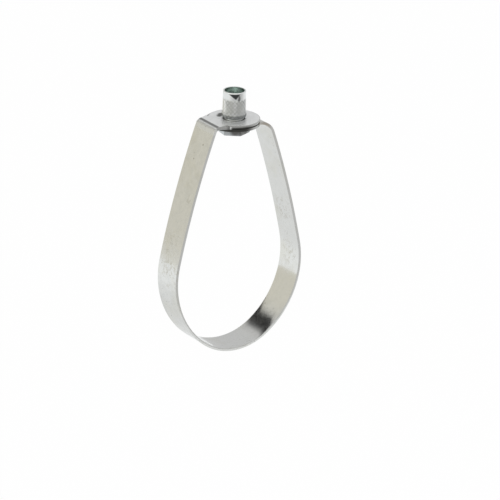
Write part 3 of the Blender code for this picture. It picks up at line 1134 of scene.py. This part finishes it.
def makeWorld():
    world = bpy.data.worlds.new("studio")
    bpy.context.scene.world = world
    world.use_nodes = True
    tree = world.node_tree
    tree.nodes.clear()
    path = addNode(tree, "ShaderNodeLightPath").outputs
    direction = addNode(tree, "ShaderNodeTexCoord").outputs["Generated"]
    towards = addSplit(tree, direction)
    aside = addRange(tree, towards["X"], *studio["leftToRight"])
    wall = addMix(tree, aside, studio["leftWall"], studio["rightWall"])
    wall = addMix(tree, addRange(tree, towards["Z"], *studio["horizon"]), studio["below"], wall)
    wall = addMix(tree, addRange(tree, towards["Z"], *studio["upwards"]), wall, studio["overhead"])
    room = addNode(
        tree, "ShaderNodeBackground", {"Color": studio["white"], "Strength": studio["diffuseLevel"]}
    )
    walls = addNode(tree, "ShaderNodeBackground", {"Color": wall, "Strength": 1.0})
    backdrop = addNode(tree, "ShaderNodeBackground", {"Color": studio["white"], "Strength": 1.0})
    seen = addMath(tree, "MAXIMUM", path["Is Camera Ray"], path["Is Transmission Ray"])
    first = addNode(tree, "ShaderNodeMixShader", {0: path["Is Glossy Ray"]})
    tree.links.new(room.outputs[0], first.inputs[1])
    tree.links.new(walls.outputs[0], first.inputs[2])
    second = addNode(tree, "ShaderNodeMixShader", {0: seen})
    tree.links.new(first.outputs[0], second.inputs[1])
    tree.links.new(backdrop.outputs[0], second.inputs[2])
    end = addNode(tree, "ShaderNodeOutputWorld")
    tree.links.new(second.outputs[0], end.inputs["Surface"])


def directionTo(azimuth, elevation):  # azimuth from +Y towards +X, both in degrees
    azimuth, elevation = math.radians(azimuth), math.radians(elevation)
    level = Vector((math.sin(azimuth), math.cos(azimuth), 0.0)) * math.cos(elevation)
    return level + Vector((0.0, 0.0, math.sin(elevation)))


darkCards = [  # azimuths from +Y towards +X and elevations, in degrees, seen from the ring's middle
    {
        "name": "darkCardBehind",
        "azimuths": (-26.0, 6.0),
        "darkest": -20.5,
        "core": 2.0,  # degrees to each side of its darkest stretch that keep its tone
        "faded": 21.0,
        "elevations": (14.0, 64.0),
        "distance": 1.5,
        "tone": 0.025,
        "edgeTone": 0.60,
    },
    {
        "name": "greyCardFront",
        "azimuths": (-265.0, -92.0),
        "darkest": -178.5,
        "core": 30.0,
        "faded": 86.0,
        "elevations": (-38.0, 4.0),
        "distance": 1.45,
        "tone": 0.57,
        "edgeTone": 0.97,
    },
]


def makeDarkCard(card):  # a bent dark or grey screen that only the metal's reflections see
    bm = bmesh.new()
    low, high = (math.radians(angle) for angle in card["elevations"])
    left, right = (math.radians(angle) for angle in card["azimuths"])
    heights = [card["distance"] * math.tan(angle) for angle in (low, high)]
    start = Vector((math.sin(left), math.cos(left), 0.0)) * card["distance"]
    verts = [bm.verts.new(start + Vector((0.0, 0.0, height))) for height in heights]
    upright = bm.edges.new(verts)
    bmesh.ops.spin(
        bm,
        geom=verts + [upright],
        cent=(0.0, 0.0, 0.0),
        axis=(0.0, 0.0, -1.0),
        angle=right - left,
        steps=studio["cardSteps"],
    )
    bmesh.ops.translate(bm, vec=(0.0, 0.0, studio["cardDrop"]), verts=bm.verts)
    flag = addPiece(card["name"], bm, 30)
    material = bpy.data.materials.new(card["name"])
    material.use_nodes = True
    tree = material.node_tree
    tree.nodes.clear()
    place = addNode(tree, "ShaderNodeTexCoord").outputs["Object"]
    way = addVector(tree, "NORMALIZE", addLevel(tree, place))
    turn = addAlong(tree, way, 90 - card["darkest"])
    aside = addRange(tree, turn, *(math.cos(math.radians(card[key])) for key in ("core", "faded")))
    dark, pale = ((card[key],) * 3 + (1.0,) for key in ("tone", "edgeTone"))
    glow = addNode(tree, "ShaderNodeEmission", {"Color": addMix(tree, aside, dark, pale)})
    end = addNode(tree, "ShaderNodeOutputMaterial")
    tree.links.new(glow.outputs[0], end.inputs["Surface"])
    flag.data.materials.append(material)
    flag.visible_camera = False
    flag.visible_diffuse = False
    flag.visible_shadow = False


lamps = [  # degrees as for the cards, metres and watts
    {"name": "keyLamp", "azimuth": -95.0, "elevation": 25.0, "distance": 1.8, "size": 1.0, "power": 3.0},
    {"name": "topLamp", "azimuth": 60.0, "elevation": 80.0, "distance": 1.8, "size": 1.4, "power": 5.5},
]


def makeLamp(name, azimuth, elevation, distance, size, power):
    data = bpy.data.lights.new(name, "AREA")
    data.size = size
    data.energy = power
    lamp = bpy.data.objects.new(name, data)
    away = directionTo(azimuth, elevation)
    lamp.location = Vector(studio["lampAim"]) + away * distance
    lamp.rotation_euler = away.to_track_quat("Z", "Y").to_euler()
    bpy.context.scene.collection.objects.link(lamp)


makeFloor()
makeWorld()
for card in darkCards:
    makeDarkCard(card)
for lamp in lamps:
    makeLamp(**lamp)
bpy.context.scene.view_settings.view_transform = "Standard"
print("studio lit")

# what each piece rides on and stands for
for piece, body, node, slot in (
    (bentStrap, "ring", "ring_band", "galvanised_strap"),
    (rodNut, "nut", "swivel_nut", "zinc_plated_nut"),
):
    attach(piece, body)
    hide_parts(node)
